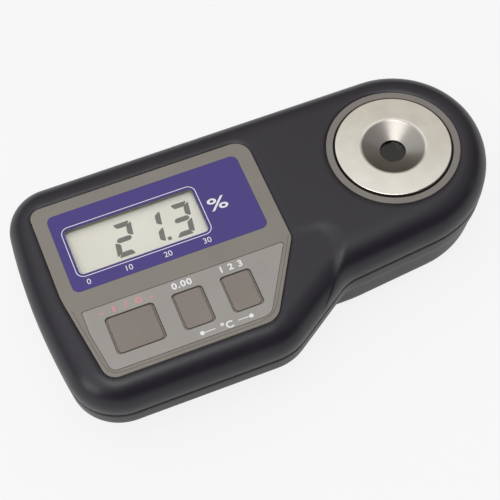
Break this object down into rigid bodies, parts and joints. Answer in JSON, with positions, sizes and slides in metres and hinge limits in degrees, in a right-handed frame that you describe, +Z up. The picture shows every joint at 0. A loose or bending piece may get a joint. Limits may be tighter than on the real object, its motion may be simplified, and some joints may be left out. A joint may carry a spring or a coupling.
{
  "type": "digital refractometer",
  "caption": "Hand-held digital refractometer with a rounded body, a display window, keys on a slanted panel and a dished steel sample stage over a prism.",
  "frame": {"origin": "on the bench under the middle of the body, at the underside of the rubber feet", "axes": "+X along the body from the display to the sample stage, +Y away from the user, +Z up"},
  "size_m": [0.17, 0.0896, 0.04],
  "materials": {
    "case": "satin moulded",
    "seal": "matt",
    "panel": "satin",
    "key": "satin",
    "key_plate": "satin",
    "film": "gloss print",
    "window": "clear",
    "lcd": "reflective display",
    "frame": "matt",
    "contact": "matt",
    "board": "satin",
    "chip": "matt",
    "steel": "turned and polished",
    "ring": "satin",
    "optic_glass": "polished",
    "lamp": "clear resin",
    "optics": "machined",
    "wire": "matt",
    "red_wire": "matt",
    "battery": "wrapped",
    "screw": "zinc plated",
    "brass": "turned"
  },
  "bodies": {
    "case": {"top_case": "case", "bottom_case": "case", "case_seal": "seal", "front_panel": "panel", "display_film": "film", "display_window": "window", "display_glass": "lcd", "display_frame": "frame", "display_contact": "contact", "key_plate": "key_plate", "main_board": "board", "board_chips": "chip", "key_switches": "chip", "sample_stage": "steel", "stage_ring": "ring", "stage_seal": "seal", "prism": "optic_glass", "prism_seal": "seal", "optics_block": "optics", "temperature_sensor": "screw", "lamp": "lamp", "collimating_lens": "optic_glass", "imaging_lens": "optic_glass", "image_sensor": "chip", "lamp_board": "board", "sensor_board": "board", "wiring_sockets": "frame", "sensor_ribbon": "wire", "lamp_lead": "wire", "battery": "battery", "battery_clip": "chip", "battery_leads": "red_wire", "lid_insert": "brass", "case_screws": "screw", "board_screws": "screw", "optics_screws": "screw", "rubber_feet": "seal"},
    "start_key": {"start_key": "key", "start_plunger": "frame"},
    "zero_key": {"zero_key": "key", "zero_plunger": "frame"},
    "scale_key": {"scale_key": "key", "scale_plunger": "frame"},
    "battery_lid": {"battery_lid": "case"},
    "lid_screw": {"lid_screw": "screw"}
  },
  "joints": [
    {"name": "start_key_press", "type": "slide", "parent": "case", "child": "start_key", "axis": [0, 0, -1], "range_m": [0, 0.0008], "stiffness_N_per_m": 600, "springref_m": -0.0003},
    {"name": "zero_key_press", "type": "slide", "parent": "case", "child": "zero_key", "axis": [0, 0, -1], "range_m": [0, 0.0008], "stiffness_N_per_m": 600, "springref_m": -0.0003},
    {"name": "scale_key_press", "type": "slide", "parent": "case", "child": "scale_key", "axis": [0, 0, -1], "range_m": [0, 0.0008], "stiffness_N_per_m": 600, "springref_m": -0.0003},
    {"name": "battery_lid_swing", "type": "hinge", "parent": "case", "child": "battery_lid", "pos_m": [-0.04985, 0.009, 0.001], "axis": [0, 1, 0], "range_deg": [0, 70]},
    {"name": "lid_screw_turn", "type": "hinge", "parent": "battery_lid", "child": "lid_screw", "pos_m": [0.0119, 0.009, 0.004], "axis": [0, 0, 1], "continuous": true}
  ]
}
